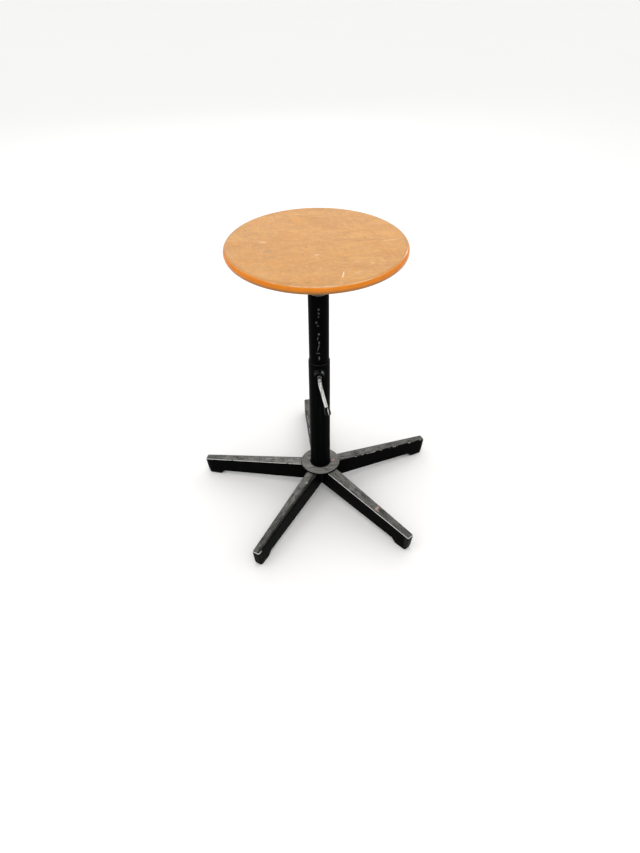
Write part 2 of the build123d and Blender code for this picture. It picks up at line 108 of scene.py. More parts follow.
class Surface:
    """A material in the making. Each method adds nodes and returns the socket with the result."""

    def __init__(self, name, roughness=0.5, specular=0.5, metallic=0.0, ior=1.5):
        self.material = bpy.data.materials.new(name)
        self.material.use_nodes = True
        self.nodes = self.material.node_tree.nodes
        self.links = self.material.node_tree.links
        self.shader = self.nodes["Principled BSDF"]
        self.shader.inputs["Roughness"].default_value = roughness
        self.shader.inputs["Specular IOR Level"].default_value = specular
        self.shader.inputs["Metallic"].default_value = metallic
        self.shader.inputs["IOR"].default_value = ior
        self.place = self.nodes.new("ShaderNodeTexCoord").outputs["Object"]
        normal = self.nodes.new("ShaderNodeNewGeometry").outputs["Normal"]
        self.facing_up = self.split(normal)[2]
        self.heights = []

    def node(self, kind, **settings):
        """A new node with those settings."""
        made = self.nodes.new(kind)
        for name, value in settings.items():
            setattr(made, name, value)
        return made

    def put(self, socket, value):
        """Links a socket to the input, or sets a plain value on it."""
        if isinstance(value, bpy.types.NodeSocket):
            self.links.new(value, socket)
        else:
            socket.default_value = value

    def split(self, vector):
        made = self.node("ShaderNodeSeparateXYZ")
        self.links.new(vector, made.inputs[0])
        return made.outputs

    def math(self, operation, a, b=0.0, clamp=False):
        """One arithmetic node."""
        made = self.node("ShaderNodeMath", operation=operation, use_clamp=clamp)
        self.put(made.inputs[0], a)
        self.put(made.inputs[1], b)
        return made.outputs[0]

    def times(self, *factors):
        """The product of all the factors."""
        product = factors[0]
        for factor in factors[1:]:
            product = self.math("MULTIPLY", product, factor)
        return product

    def either(self, *masks):
        """The largest of the masks."""
        most = masks[0]
        for mask in masks[1:]:
            most = self.math("MAXIMUM", most, mask)
        return most

    def sway(self, value, amount):
        """Turns a 0 to 1 noise into a swing of plus or minus half the amount."""
        return self.math("MULTIPLY", self.math("SUBTRACT", value, 0.5), amount)

    def step(self, value, start, end):
        """0 at start and 1 at end, smooth between. Start may be the larger."""
        made = self.node("ShaderNodeMapRange", interpolation_type="SMOOTHSTEP")
        self.put(made.inputs["Value"], value)
        made.inputs["From Min"].default_value = start
        made.inputs["From Max"].default_value = end
        return made.outputs["Result"]

    def band(self, value, low, high, soft):
        """1 between low and high, 0 outside."""
        rise = self.step(value, low - soft, low + soft)
        return self.times(rise, self.step(value, high + soft, high - soft))

    def moved(self, place, scale=(1, 1, 1), turn=0.0, shift=(0, 0, 0)):
        """Coordinates turned about Z, then stretched: a small scale makes long features."""
        turned = self.node("ShaderNodeMapping")
        self.links.new(place, turned.inputs["Vector"])
        turned.inputs["Rotation"].default_value = (0, 0, turn)
        scaled = self.node("ShaderNodeMapping")
        self.links.new(turned.outputs["Vector"], scaled.inputs["Vector"])
        scaled.inputs["Scale"].default_value = scale
        scaled.inputs["Location"].default_value = shift
        return scaled.outputs["Vector"]

    def grain(self, place, scale, detail=2.0, roughness=0.5, distortion=0.0):
        """A 0 to 1 noise. A larger scale is finer."""
        made = self.node("ShaderNodeTexNoise")
        self.links.new(place, made.inputs["Vector"])
        made.inputs["Scale"].default_value = scale
        made.inputs["Detail"].default_value = detail
        made.inputs["Roughness"].default_value = roughness
        made.inputs["Distortion"].default_value = distortion
        return made.outputs[0]

    def bent(self, place, scale, amount):
        """Coordinates that a broad noise pushes sideways, for lines that wander."""
        made = self.node("ShaderNodeCombineXYZ")
        self.links.new(self.sway(self.grain(place, scale, 1.0), amount), made.inputs["Y"])
        added = self.node("ShaderNodeVectorMath", operation="ADD")
        self.links.new(place, added.inputs[0])
        self.links.new(made.outputs[0], added.inputs[1])
        return added.outputs[0]

    def distance_from(self, place, centre, size, turn=(0, 0, 0)):
        """How far a point is from the centre, in units of the size along each turned axis."""
        local = self.node("ShaderNodeMapping", vector_type="TEXTURE")
        self.links.new(place, local.inputs["Vector"])
        local.inputs["Location"].default_value = centre
        local.inputs["Rotation"].default_value = turn
        local.inputs["Scale"].default_value = size
        length = self.node("ShaderNodeVectorMath", operation="LENGTH")
        self.links.new(local.outputs["Vector"], length.inputs[0])
        return length.outputs["Value"]

    def spot(self, place, centre, size, turn=(0, 0, 0), ragged=None, soft=0.35):
        """1 inside an ellipsoid of that half size and 0 outside. A noise makes its rim ragged."""
        distance = self.distance_from(place, centre, size, turn)
        if ragged is not None:
            distance = self.math("ADD", distance, self.sway(ragged, 1.6))
        return self.step(distance, 1 + soft, 1 - soft)

    def mix(self, amount, a, b):
        """Colour a where the amount is 0 and b where it is 1. The sockets are the node's colour ones."""
        made = self.node("ShaderNodeMix", data_type="RGBA")
        self.put(made.inputs[0], amount)
        self.put(made.inputs[6], a)
        self.put(made.inputs[7], b)
        return made.outputs[2]

    def between(self, amount, low, high):
        """A number that goes from low to high with the amount."""
        made = self.node("ShaderNodeMapRange")
        self.put(made.inputs["Value"], amount)
        made.inputs["To Min"].default_value = low
        made.inputs["To Max"].default_value = high
        return made.outputs["Result"]

    def relief(self, height, depth):
        """Adds a height map, whose 0 to 1 stands for that depth."""
        self.heights.append((height, depth))

    def finish(self, colour, roughness=None):
        """Joins colour, roughness and all the relief to the shader."""
        self.put(self.shader.inputs["Base Color"], colour)
        if roughness is not None:
            self.put(self.shader.inputs["Roughness"], roughness)
        normal = None
        for height, depth in self.heights:
            bump = self.node("ShaderNodeBump")
            bump.inputs["Distance"].default_value = depth
            self.links.new(height, bump.inputs["Height"])
            if normal is not None:
                self.links.new(normal, bump.inputs["Normal"])
            normal = bump.outputs["Normal"]
        if normal is not None:
            self.links.new(normal, self.shader.inputs["Normal"])
        return self.material


# ---------------------------------------------------------------- beech plywood
BEECH_TAN = rgb(0.655, 0.318, 0.096)
BEECH_PALE = rgb(0.76, 0.43, 0.150)
BEECH_BROWN = rgb(0.48, 0.205, 0.052)
BEECH_FLECK = rgb(0.36, 0.16, 0.055)
VARNISH_ORANGE = rgb(0.80, 0.235, 0.008)
VARNISH_DEEP = rgb(0.62, 0.170, 0.008)
# The next colour is painted shade on the downward-facing lower half of the round edge
RIM_SHADE_BROWN = rgb(0.30, 0.125, 0.020)
RIM_GREY = rgb(0.46, 0.30, 0.165)
SCUFF_GREY = rgb(0.47, 0.255, 0.115)
SCRATCH_PALE = rgb(0.93, 0.68, 0.42)
SPOT_DARK = rgb(0.22, 0.10, 0.045)
SPOT_AMBER = rgb(0.74, 0.33, 0.07)
PLY_COUNT = 13

# Marks on the seat's top: x, y, half length, half width in mm, turn in degrees, colour, strength
SEAT_MARKS = (
    (-27, -51, 1.8, 1.5, 0, SPOT_DARK, 0.75),
    (-21, -20, 2.2, 1.4, 20, SPOT_DARK, 0.45),
    (-17, -155, 4.5, 1.2, -4, SPOT_DARK, 0.60),
    (-29, 74, 2.6, 1.6, 10, SPOT_DARK, 0.40),
    (86, 17, 3.4, 1.8, 8, SPOT_DARK, 0.55),
    (100, 10, 3.6, 1.6, 60, SPOT_DARK, 0.35),
    (28, -95, 5.0, 1.0, 12, SPOT_DARK, 0.45),
    (20, -101, 3.5, 0.8, 4, SPOT_DARK, 0.35),
    (-89, -36, 9.0, 5.5, 15, SCUFF_GREY, 0.75),
    (-84, -60, 11.0, 5.0, 30, SCUFF_GREY, 0.45),
    (-131, 31, 9.0, 4.0, 25, SCUFF_GREY, 0.60),
    (-116, 42, 8.0, 4.0, 30, SCUFF_GREY, 0.45),
    (60, 45, 16.0, 3.0, 14, SCUFF_GREY, 0.35),
    (118, -65, 6.0, 3.0, 20, SCUFF_GREY, 0.55),
    (-2, -52, 4.0, 1.2, 5, SCRATCH_PALE, 0.80),
    (-100, 3, 7.0, 3.5, 0, SCRATCH_PALE, 0.40),
    (42, -127, 12.5, 1.1, 81, SCRATCH_PALE, 0.85),
    (94, -86, 3.0, 1.3, 0, SCRATCH_PALE, 0.60),
    (132, 7, 17.0, 1.2, 17, SCRATCH_PALE, 0.45),
    (70, -118, 10.0, 0.8, 35, SCRATCH_PALE, 0.40),
    (-42, 107, 12.0, 5.0, 0, SPOT_AMBER, 0.45),
    (-36, 123, 12.0, 4.0, -10, SCUFF_GREY, 0.40),
    (-151, 0, 7.0, 6.0, 0, SPOT_AMBER, 0.40),
    (-143, -75, 5.0, 5.0, 0, SPOT_AMBER, 0.35),
)
# The one deep chip in the edge: its centre, the half size of its bare wood, and its dent
RIM_CHIP = Vector((81, -137, 601)) * MM
RIM_CHIP_SIZE = Vector((3.2, 3.2, 1.6)) * MM
RIM_CHIP_RADIUS = 3.4 * MM
RIM_CHIP_DEPTH = 0.55 * MM


def beech_face(s, wander, figure, fibre):
    """Bare beech: broad figure, rings, fibre and short flecks along X."""
    colour = s.mix(s.step(figure, 0.30, 0.72), BEECH_BROWN, BEECH_PALE)
    colour = s.mix(0.74, colour, BEECH_TAN)
    rings = s.grain(s.moved(s.bent(wander, 16, 16 * MM), (0.05, 1, 1)), 150, 2.0, 0.5)
    colour = s.mix(s.times(s.step(rings, 0.52, 0.70), 0.16), colour, BEECH_BROWN)
    colour = s.mix(s.times(s.step(fibre, 0.50, 0.78), 0.34), colour, BEECH_BROWN)
    colour = s.mix(s.times(s.step(fibre, 0.46, 0.24), 0.22), colour, BEECH_PALE)
    fleck = s.step(s.grain(s.moved(s.place, (0.22, 1, 1)), 1500, 1.0), 0.66, 0.74)
    return s.mix(s.times(fleck, 0.42), colour, BEECH_FLECK)


def worn_varnish(s, colour, worn):
    """Grey where the varnish is worn, a fine dapple, amber patches and brushed marks three ways."""
    colour = s.mix(s.times(worn, 0.32), colour, SCUFF_GREY)
    dapple = s.grain(s.place, 150, 4.0, 0.7, 0.5)
    colour = s.mix(s.times(s.step(dapple, 0.50, 0.66), 0.26), colour, SCUFF_GREY)
    colour = s.mix(s.times(s.step(dapple, 0.48, 0.34), 0.28), colour, BEECH_PALE)
    amber = s.step(s.grain(s.moved(s.place, (0.6, 1, 1), shift=(3, 1, 2)), 19, 5.0, 0.66), 0.53, 0.66)
    colour = s.mix(s.times(amber, 0.26), colour, SPOT_AMBER)
    for turn, shift in ((0.45, 0), (-0.35, 5), (1.1, 9)):
        brushed = s.grain(s.moved(s.place, (0.22, 1, 1), turn, (shift, 0, 0)), 190, 3.0, 0.6)
        colour = s.mix(s.times(s.step(brushed, 0.54, 0.66), 0.22), colour, SCUFF_GREY)
        colour = s.mix(s.times(s.step(brushed, 0.43, 0.31), 0.24), colour, BEECH_PALE)
    return colour


def hairlines(s):
    """A mask of fine scratches in four directions, each in its own patches."""
    masks = []
    for turn, scale, level in ((0.35, 800, 0.70), (-0.9, 950, 0.71), (1.35, 700, 0.71), (0.02, 900, 0.69)):
        hair = s.grain(s.moved(s.place, (0.05, 1, 1), turn), scale, 0.0)
        patch = s.step(s.grain(s.moved(s.place, shift=(turn, 0, 0)), 9, 2.0), 0.46, 0.60)
        masks.append(s.times(s.step(hair, level, level + 0.05), patch))
    return s.either(*masks)


def marked_top(s, colour, top, grit):
    """Adds SEAT_MARKS to the top. Returns the colour, and the masks of the pale scratches."""
    scratches = []
    for mark_x, mark_y, length, width, turn, paint, strength in SEAT_MARKS:
        centre = (mark_x * MM, mark_y * MM, seat_high.z)
        size = (length * MM, width * MM, 8 * MM)
        mark = s.times(s.spot(s.place, centre, size, (0, 0, math.radians(turn)), grit, 0.55), top)
        colour = s.mix(s.times(mark, strength), colour, paint)
        if paint is SCRATCH_PALE:
            scratches.append(mark)
    return colour, scratches


def varnished_plies(s, z):
    """Orange varnish over the plies, which show as faint darker lines."""
    orange = s.mix(s.step(s.grain(s.place, 42, 3.0), 0.35, 0.70), VARNISH_ORANGE, VARNISH_DEEP)
    orange = s.mix(0.55, orange, VARNISH_ORANGE)
    ply_height = s.math("DIVIDE", s.math("SUBTRACT", z, seat_low.z), SEAT_THICKNESS)
    ply = s.math("SINE", s.math("MULTIPLY", ply_height, HALF_TURN * PLY_COUNT))
    orange = s.mix(s.times(s.step(ply, 0.15, 0.75), 0.20), orange, VARNISH_DEEP)
    end_grain = s.step(s.grain(s.moved(s.place, (1, 1, 0.35)), 1400, 2.0), 0.55, 0.75)
    return s.mix(s.times(end_grain, 0.22), orange, BEECH_BROWN)


def round_edge(s, colour, grit):
    """Adds the round edge: orange plies, a lower half painted brown as shade, and wear that is strongest
    in front, where a pale rubbed line is also a painted highlight.
    """
    x, y, z = s.split(s.place)
    ragged_up = s.math("ADD", s.facing_up, s.sway(s.grain(s.place, 55, 4.0, 0.6), 0.12))
    ragged_up = s.math("ADD", ragged_up, s.sway(s.grain(s.place, 7, 1.0), 0.30))
    # The front of the seat, where the edge is more worn and where its painted highlight is stronger.
    front_wear_and_highlight = s.step(s.math("ABSOLUTE", s.math("SUBTRACT", x, 10 * MM)), 115 * MM, 60 * MM)
    front_wear_and_highlight = s.times(front_wear_and_highlight, s.step(y, 0, -40 * MM))
    ragged_up = s.math("ADD", ragged_up, s.times(front_wear_and_highlight, 0.15))
    colour = s.mix(s.step(ragged_up, 0.985, 0.70), colour, varnished_plies(s, z))
    # Painted shade: the lower half of the round edge, which faces down, is painted dark brown.
    shaded_lower_half = s.step(s.facing_up, 0.20, -0.45)
    colour = s.mix(s.times(shaded_lower_half, 0.95), colour, RIM_SHADE_BROWN)

    patches = s.grain(s.place, 36, 5.0, 0.65)
    crest = s.times(s.band(s.facing_up, 0.90, 0.992, 0.008), s.step(patches, 0.32, 0.50))
    crest = s.times(crest, s.between(s.step(y, -60 * MM, 60 * MM), 0.25, 0.70))
    colour = s.mix(crest, colour, RIM_GREY)
    # Pale line on the upper shoulder, stronger in front: rubbed varnish, and also a painted highlight
    # where light from above and the front catches the edge.
    rub_and_highlight = s.times(s.band(s.facing_up, 0.70, 0.82, 0.05), s.step(patches, 0.30, 0.60))
    rub_and_highlight = s.times(rub_and_highlight, s.between(front_wear_and_highlight, 0.12, 0.50))
    colour = s.mix(rub_and_highlight, colour, SCRATCH_PALE)
    chip = s.spot(s.place, RIM_CHIP, RIM_CHIP_SIZE, ragged=grit)
    return s.mix(s.times(chip, 0.85), colour, SCRATCH_PALE)


def varnished_beech():
    """Worn varnish over a beech face, and deep orange varnish over the plies of the round edge."""
    s = Surface("varnished_beech", ior=1.34)
    grit = s.grain(s.place, 260, 4.0, 0.65)
    wander = s.bent(s.moved(s.place, turn=-0.16), 7, 34 * MM)
    figure = s.grain(s.moved(wander, (0.16, 1, 1)), 34, 3.0, 0.55)
    fibre = s.grain(s.moved(wander, (0.025, 1, 1)), 1150, 2.0, 0.6)
    worn = s.step(s.grain(s.moved(s.place, (0.8, 1.15, 1)), 24, 8.0, 0.74, 0.8), 0.46, 0.60)
    hairline = hairlines(s)
    top = s.step(s.facing_up, 0.85, 0.98)

    colour = worn_varnish(s, beech_face(s, wander, figure, fibre), worn)
    colour = s.mix(s.times(hairline, 0.16), colour, SCRATCH_PALE)
    colour, scratches = marked_top(s, colour, top, grit)
    colour = round_edge(s, colour, grit)
    below = s.step(s.facing_up, -0.90, -0.98)
    colour = s.mix(below, colour, s.mix(s.step(figure, 0.3, 0.7), BEECH_BROWN, BEECH_TAN))

    s.relief(s.math("SUBTRACT", 1.0, s.either(hairline, *scratches)), 0.10 * MM)
    s.relief(fibre, 0.035 * MM)
    s.relief(s.grain(s.place, 90, 3.0), 0.10 * MM)
    rough = s.between(s.step(grit, 0.35, 0.70), 0.36, 0.50)
    rough = s.math("ADD", rough, s.times(worn, top, 0.10))
    rough = s.math("SUBTRACT", rough, s.times(s.step(s.facing_up, 0.99, 0.90), 0.22))
    return s.finish(colour, rough)


# ---------------------------------------------------------------- black paint on the column
BLACK = rgb(0.0012, 0.0015, 0.0014)
BLACK_STREAK = rgb(0.0050, 0.0056, 0.0060)
DUST_SPECK = rgb(0.030, 0.031, 0.031)
# The next colour is rubbed paint and also a painted highlight on edges that face upwards
RUBBED_EDGE_AND_HIGHLIGHT = rgb(0.036, 0.043, 0.044)
SCRAPED = rgb(0.115, 0.125, 0.118)
PAINTED_HIGHLIGHT_GREY = rgb(0.020, 0.022, 0.023)
BARE_STEEL = rgb(0.30, 0.33, 0.34)

# What the clamp has scraped off the inner tube: x, height, half width, half height in mm, lean in radians
CLAMP_MARKS = (
    (0.0, 487.8, 1.9, 2.4, 0),
    (0.0, 479.3, 2.1, 2.4, 0),
    (-0.4, 472, 1.2, 2.0, 0),
    (-4.6, 458.9, 2.0, 2.4, 0),
    (-1.6, 452, 2.2, 1.3, 0),
    (0.0, 432.8, 2.1, 2.6, 0),
    (-2.2, 423, 0.9, 4.0, 0.2),
    (0.4, 413, 1.6, 3.4, 0),
    (-1.0, 402, 0.9, 9.5, 0.24),
    (-2.0, 388, 4.4, 0.9, 0),
    (0.0, 376.4, 1.8, 4.4, 0),
)

# A worn bare chip on the boss's right, and a grey painted highlight on its upper left where the top
# catches light: centre, half size, colour
BOSS_WEAR_AND_HIGHLIGHT = (
    (Vector((6.6, -29.0, 347.4)) * MM, Vector((2.4, 2.8, 2.2)) * MM, BARE_STEEL),
    (Vector((-4.5, -30.0, 349.0)) * MM, Vector((5.5, 3.2, 2.0)) * MM, PAINTED_HIGHLIGHT_GREY),
)


def column_black(name, marks=(), chips=()):
    """Satin black paint with streaks down the tube, and edges that face upwards painted lighter as rubbed
    paint and as a painted highlight, scraped by marks and chips.

    marks are rows like those of CLAMP_MARKS, and chips are rows like those of BOSS_WEAR_AND_HIGHLIGHT.
    """
    s = Surface(name, ior=1.055)
    grit = s.grain(s.place, 420, 3.0, 0.6)
    streak = s.grain(s.moved(s.place, (1, 1, 0.022)), 420, 3.0, 0.6)
    cloud = s.grain(s.place, 22, 3.0, 0.6)
    colour = s.mix(s.times(s.step(streak, 0.52, 0.78), s.step(cloud, 0.35, 0.65)), BLACK, BLACK_STREAK)
    speck = s.step(s.grain(s.place, 1300, 1.0), 0.735, 0.79)
    colour = s.mix(s.times(speck, 0.55), colour, DUST_SPECK)

    # Edges and rounded faces that tilt upwards are painted lighter: rubbed paint, and a painted highlight
    # where they catch light.
    edge = s.band(s.facing_up, 0.30, 0.93, 0.06)
    edge = s.times(edge, s.step(grit, 0.30, 0.55))
    colour = s.mix(s.times(edge, 0.85), colour, RUBBED_EDGE_AND_HIGHLIGHT)

    scraped = []
    for x, height, half_width, half_height, lean in marks:
        centre = (x * MM, -UPPER_R, height * MM)
        size = (half_width * MM, 6 * MM, half_height * MM)
        mark = s.spot(s.place, centre, size, (0, lean, 0), grit)
        scraped.append(mark)
    rough = s.between(grit, 0.30, 0.46)
    if scraped:
        scrape = s.either(*scraped)
        colour = s.mix(s.times(scrape, s.step(grit, 0.28, 0.62)), colour, SCRAPED)
        s.relief(s.math("SUBTRACT", 1.0, scrape), 0.06 * MM)
    # For the boss these rows paint a worn chip and a grey painted highlight.
    for centre, size, paint in chips:
        chip = s.spot(s.place, centre, size, ragged=grit)
        colour = s.mix(chip, colour, paint)
    s.relief(s.grain(s.place, 700, 1.0), 0.018 * MM)
    s.relief(streak, 0.02 * MM)
    return s.finish(colour, rough)


# ---------------------------------------------------------------- black paint on the base
BASE_BLACK = rgb(0.0013, 0.0015, 0.0014)
BASE_SCUFF = rgb(0.008, 0.008, 0.0075)
# The next colour is dust and also a painted sheen on what faces up
DUST_AND_SHEEN_GREY = rgb(0.285, 0.284, 0.270)
DULL_DARK = rgb(0.032, 0.032, 0.030)
# The next colour is bare metal and also a painted highlight along rounded edges
BARE_EDGE_AND_HIGHLIGHT = rgb(0.80, 0.80, 0.77)
PRIMER_PINK = rgb(0.55, 0.40, 0.33)
OIL_DARK = rgb(0.035, 0.035, 0.034)
TIP_SCUFF = rgb(0.045, 0.046, 0.040)

# Spots: along and across the leg, half length and half width in mm, turn in degrees, colour, strength
LEG_4_SPOTS = (
    (71, 4, 2.5, 2.0, 0, BARE_EDGE_AND_HIGHLIGHT, 0.45),
    (262, -2, 3.0, 2.0, 0, DUST_AND_SHEEN_GREY, 0.5),
)
LEG_5_SPOTS = (
    (182, 0, 3.2, 6.0, 12, PRIMER_PINK, 0.80),
    (188, -4, 3.0, 2.0, 0, PRIMER_PINK, 0.50),
    (136, 3, 9.0, 4.0, 0, DULL_DARK, 0.70),
    (196, 4, 6.0, 3.0, 20, DULL_DARK, 0.60),
    (255, 0, 2.0, 2.0, 0, OIL_DARK, 0.80),
)
RING_SPOTS = (
    (29.5, 1.0, 4.0, 3.5, 20, PRIMER_PINK, 0.60),
    (14, -31, 4.5, 2.5, 40, OIL_DARK, 0.50),
    (21, -27, 3.0, 1.6, 20, OIL_DARK, 0.40),
)

# Wear, dust, painted sheen and painted highlights of the ring, and of each leg by its number, in the words
# of base_black
RING_WEAR_AND_LIGHT = dict(minus_edge=0.1, plus_edge=0.1, tip_edge=0.0, tone=1.22, spots=RING_SPOTS)
LEG_WEAR_AND_LIGHT = {
    1: dict(minus_edge=0.36, plus_edge=0.15, tip_edge=0.15, level=(0.98, 0.58), tone=1.12,
            groove=0.60),
    2: dict(minus_edge=0.20, plus_edge=0.50, tip_edge=0.30, level=(0.75, 0.66)),
    3: dict(minus_edge=0.25, plus_edge=0.70, tip_edge=0.60, level=(1.0, 0.48), tone=1.55,
            groove=0.25),
    4: dict(minus_edge=0.10, plus_edge=0.0, tip_edge=0.95, level=(1.0, 0.46), tone=1.15,
            plus_shade=0.85, tip_scuff=0.35, spots=LEG_4_SPOTS),
    5: dict(minus_edge=1.0, plus_edge=0.10, tip_edge=1.0, level=(0.98, 0.48), tone=1.10,
            tip_scuff=0.9, spots=LEG_5_SPOTS),
}


def spotted(s, colour, local, flat, grit, spots):
    """Adds spots to what faces up. Their rows are like those of RING_SPOTS."""
    for spot_along, spot_across, length, width, turn, paint, strength in spots:
        centre = (spot_along * MM, spot_across * MM, RING_TOP)
        size = (length * MM, width * MM, 60 * MM)
        mark = s.spot(local, centre, size, (0, 0, math.radians(turn)), grit, 0.6)
        colour = s.mix(s.times(mark, flat, strength), colour, paint)
    return colour


def bare_and_highlit_edges(s, local, *edges):
    """A mask of bare metal and painted highlight along the rounded edges. Each edge is (how worn it is,
    where it is), and wear breaks it up less.
    """
    breaks = s.grain(s.moved(local, (1, 0.1, 0.1)), 95, 4.0, 0.7)
    bare_and_highlight = []
    for wear, where in edges:
        kept = s.step(breaks, 0.66 - 0.46 * wear, 0.72 - 0.40 * wear)
        bare_and_highlight.append(s.times(kept, where, min(1.0, 0.25 + wear)))
    return s.times(s.band(s.facing_up, 0.52, 0.80, 0.06), s.either(*bare_and_highlight))


def base_black(name, angle=0.0, plus_edge=0.2, minus_edge=0.2, tip_edge=0.3, level=(1.0, 1.0),
               plus_shade=0.0, groove=0.0, tip_scuff=0.3, tone=1.0, spots=()):
    """Worn black paint. What faces up is grey with dust and with a painted sheen, with streaks along the
    leg.

    plus_edge and minus_edge say how brightly the leg's two long edges are worn bare and painted as
    highlight, and tip_edge its end.
    level is how grey the top is at the hub and at the tip, greyer at the hub as painted light against the
    seat's shadow, and tone scales that grey.
    plus_shade keeps the plus side darker, groove draws a dark line inside the long edges, and
    tip_scuff speckles the end face. spots are rows like those of RING_SPOTS.
    """
    s = Surface(name, ior=1.06)
    local = s.moved(s.place, turn=-angle)
    along, across, _ = s.split(local)
    grit = s.grain(s.place, 380, 3.0, 0.65)
    cloud = s.grain(s.place, 26, 4.0, 0.6)
    streak = s.grain(s.moved(local, (0.07, 1, 1)), 430, 3.0, 0.7)
    smear = s.grain(s.moved(local, (0.16, 1, 1)), 120, 4.0, 0.65)

    scuffed = s.times(s.step(streak, 0.50, 0.74), s.step(cloud, 0.35, 0.62))
    colour = s.mix(s.times(scuffed, 0.55), BASE_BLACK, BASE_SCUFF)
    speck = s.step(s.grain(s.place, 1100, 1.0), 0.74, 0.80)
    colour = s.mix(s.times(speck, 0.25), colour, DUST_AND_SHEEN_GREY)
    at_tip = s.step(along, LEG_WEAR_REACH - 11 * MM, LEG_WEAR_REACH - 5 * MM)
    end_face = s.times(at_tip, s.step(grit, 0.42, 0.62))
    colour = s.mix(s.times(end_face, tip_scuff), colour, TIP_SCUFF)

    # Dust and a painted sheen: what faces up is painted grey, more so at the hub to offset the seat's
    # shadow.
    flat = s.step(s.facing_up, 0.72, 0.97)
    patchy = s.math("ADD", s.sway(streak, 1.7), s.sway(smear, 1.1))
    patchy = s.math("ADD", patchy, s.sway(cloud, 0.7))
    patchy = s.math("ADD", patchy, s.sway(grit, 1.7))
    dust_and_sheen = s.mix(s.math("ADD", patchy, 0.5, clamp=True), DULL_DARK, shade(DUST_AND_SHEEN_GREY, tone))
    amount = s.times(flat, s.between(s.step(along, 60 * MM, LEG_WEAR_REACH - 20 * MM), *level))
    if plus_shade:
        ragged_across = s.math("ADD", across, s.sway(s.either(smear, cloud), 14 * MM))
        amount = s.times(amount, s.between(s.step(ragged_across, 0, 8 * MM), 1.0, 1.0 - plus_shade))
    colour = s.mix(amount, colour, dust_and_sheen)
    colour = spotted(s, colour, local, flat, grit, spots)
    if groove:
        colour = s.mix(s.times(s.band(s.facing_up, 0.83, 0.955, 0.02), groove), colour, BASE_BLACK)

    plus_side = s.step(across, -3 * MM, 3 * MM)
    minus_side = s.math("SUBTRACT", 1.0, plus_side)
    # Bare metal and a painted highlight along the rounded edges.
    bare_and_highlight = bare_and_highlit_edges(s, local, (plus_edge, plus_side), (minus_edge, minus_side), (tip_edge, at_tip))
    colour = s.mix(bare_and_highlight, colour, BARE_EDGE_AND_HIGHLIGHT)

    s.relief(s.grain(s.place, 620, 1.0), 0.02 * MM)
    s.relief(streak, 0.03 * MM)
    rough = s.between(s.math("ADD", s.times(flat, 0.6), s.sway(grit, 0.5), clamp=True), 0.36, 0.56)
    return s.finish(colour, rough)


# ---------------------------------------------------------------- the rest of the materials
CARRIER_BLACK = rgb(0.005, 0.005, 0.0055)
CARRIER_DUST = rgb(0.016, 0.016, 0.016)
CARRIER_EDGE = rgb(0.16, 0.15, 0.14)

ZINC = rgb(0.62, 0.62, 0.58)
BRIGHT_STEEL = rgb(0.60, 0.60, 0.59)
SPRING_STEEL = rgb(0.16, 0.16, 0.17)
THREAD_GREY = rgb(0.34, 0.33, 0.31)
THREAD_GRIME = rgb(0.10, 0.095, 0.09)

CHROME_TINT = rgb(0.10, 0.10, 0.10)
CHROME = rgb(0.74, 0.74, 0.72)
CHROME_SMUDGE = rgb(0.50, 0.50, 0.48)
CHROME_PIT = rgb(0.14, 0.13, 0.12)
CHROME_TARNISH = rgb(0.13, 0.13, 0.125)
OILY_STEEL = rgb(0.045, 0.045, 0.045)

GLIDE_BLACK = rgb(0.0020, 0.0020, 0.0018)
GLIDE_DUST = rgb(0.10, 0.098, 0.092)
GRIP_BLACK = rgb(0.0018, 0.0018, 0.0018)
GRIP_SPECK = rgb(0.006, 0.006, 0.006)
PAINTED_HIGHLIGHT_PALE = rgb(0.55, 0.54, 0.51)
# The next colour is painted shade on the bushes under the seat
BUSH_SHADE_OLIVE = rgb(0.040, 0.042, 0.024)
BUSH_GRIME = rgb(0.022, 0.021, 0.012)
LINER_GREY = rgb(0.10, 0.10, 0.10)
LINER_GRIME = rgb(0.04, 0.04, 0.04)
UNSHADED_PLASTIC = rgb(0.26, 0.28, 0.23)


def carrier_black():
    """Plain dark paint under the seat, with dust in a noise, and thin along its edges."""
    s = Surface("carrier_black", ior=1.3)
    grit = s.grain(s.place, 300, 4.0, 0.6)
    colour = s.mix(s.step(grit, 0.45, 0.72), CARRIER_BLACK, CARRIER_DUST)
    edge = s.times(s.band(s.facing_up, -0.93, -0.40, 0.05), s.step(grit, 0.42, 0.62))
    colour = s.mix(s.times(edge, 0.6), colour, CARRIER_EDGE)
    s.relief(s.grain(s.place, 500, 2.0), 0.03 * MM)
    return s.finish(colour, s.between(grit, 0.34, 0.56))


def drawn_steel(name, tone, roughness, lines):
    """Bare or plated steel with fine turned lines round the Z axis and a mottled sheen."""
    s = Surface(name, metallic=1.0)
    mottle = s.grain(s.place, 140, 4.0, 0.6)
    colour = s.mix(s.step(mottle, 0.35, 0.72), tone, shade(tone, 0.62))
    turned = s.grain(s.moved(s.place, (0.02, 0.02, 1)), lines, 2.0)
    s.relief(turned, 0.012 * MM)
    return s.finish(colour, s.between(mottle, roughness - 0.08, roughness + 0.12))


